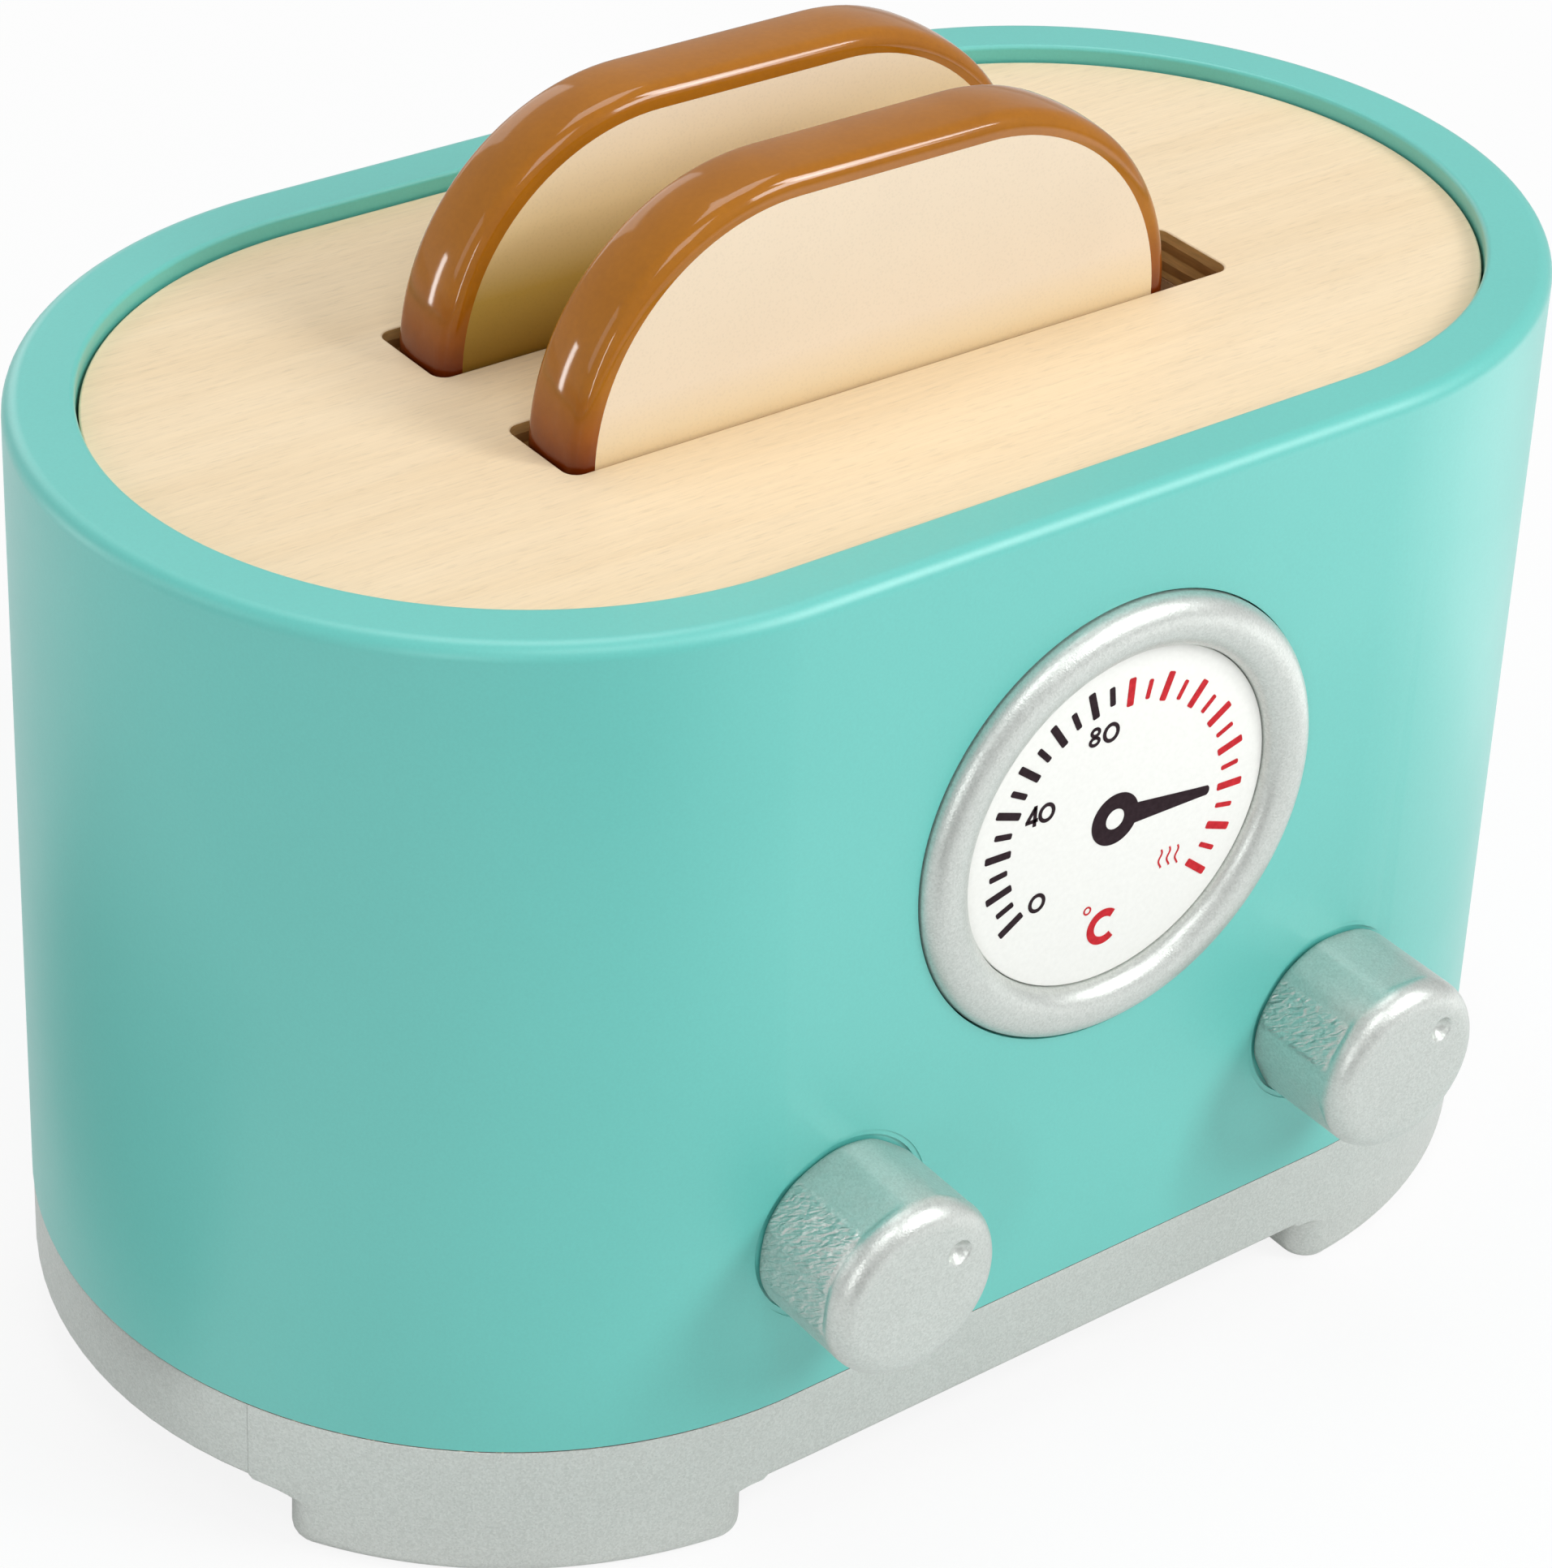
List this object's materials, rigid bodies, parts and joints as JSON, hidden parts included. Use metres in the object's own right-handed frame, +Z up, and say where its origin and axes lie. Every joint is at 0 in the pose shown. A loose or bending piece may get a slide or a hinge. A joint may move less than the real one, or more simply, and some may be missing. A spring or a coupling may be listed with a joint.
{
  "type": "toy toaster",
  "caption": "Wooden play toaster with leaning rounded body, plywood top with slots, sprung pop-up slices, dial and turning knobs.",
  "frame": {"origin": "on the table, under the middle of the overall box with the knobs included", "axes": "+X to the right along the body, +Y to the back, +Z up; dial and knobs face -Y"},
  "size_m": [0.1892, 0.1262, 0.1432],
  "materials": {
    "teal_paint": "satin sprayed lacquer on wood",
    "silver_paint": "fine metallic silver lacquer on wood, satin",
    "plywood": "clear matt varnish on birch plywood",
    "toast_paint": "gloss lacquer with a printed face",
    "dial_print": "white printed fibreboard disc, satin",
    "bare_wood": "planed beech, unfinished",
    "steel": "bright drawn steel",
    "nylon": "natural nylon",
    "felt": "pressed wool felt"
  },
  "bodies": {
    "housing": {"body_shell": "teal_paint", "base_plinth": "silver_paint", "top_plate": "plywood", "dial_face": "dial_print", "bezel_ring": "silver_paint", "base_screws": "steel", "guide_board_screws": "steel", "guide_board_left": "bare_wood", "guide_board_right": "bare_wood", "guide_rod_left": "steel", "guide_rod_right": "steel", "stop_sleeve_left": "nylon", "stop_sleeve_right": "nylon", "stop_ring_left": "steel", "stop_ring_right": "steel", "lift_spring_left": "steel", "lift_spring_right": "steel", "knob_bush_left": "nylon", "knob_bush_right": "nylon"},
    "lift": {"lift_platform": "bare_wood", "lift_bush_left": "nylon", "lift_bush_right": "nylon", "felt_strips": "felt", "hold_down_tab": "steel", "tab_screws": "steel"},
    "front_slice": {"slice_front": "toast_paint"},
    "rear_slice": {"slice_rear": "toast_paint"},
    "left_knob": {"knob_left": "silver_paint", "knob_shaft_left": "steel", "knob_washer_left": "felt", "knob_keeper_left": "steel"},
    "right_knob": {"knob_right": "silver_paint", "knob_shaft_right": "steel", "hold_down_cam": "nylon", "knob_keeper_right": "steel"}
  },
  "joints": [
    {"name": "lift_slide", "type": "slide", "parent": "housing", "child": "lift", "axis": [0, 0, 1], "range_m": [-0.026, 0], "stiffness_N_per_m": 120, "springref_m": 0.025, "deforming": ["lift_spring_left", "lift_spring_right"]},
    {"name": "front_slice_lift", "type": "slide", "parent": "lift", "child": "front_slice", "axis": [0, 0, 1], "range_m": [0, 0.06]},
    {"name": "rear_slice_lift", "type": "slide", "parent": "lift", "child": "rear_slice", "axis": [0, 0, 1], "range_m": [0, 0.06]},
    {"name": "left_knob_turn", "type": "hinge", "parent": "housing", "child": "left_knob", "pos_m": [-0.0335, -0.04869, 0.0392], "axis": [0, -1, 0], "continuous": true},
    {"name": "right_knob_turn", "type": "hinge", "parent": "housing", "child": "right_knob", "pos_m": [0.0371, -0.04869, 0.0392], "axis": [0, -1, 0], "range_deg": [0, 90]}
  ]
}
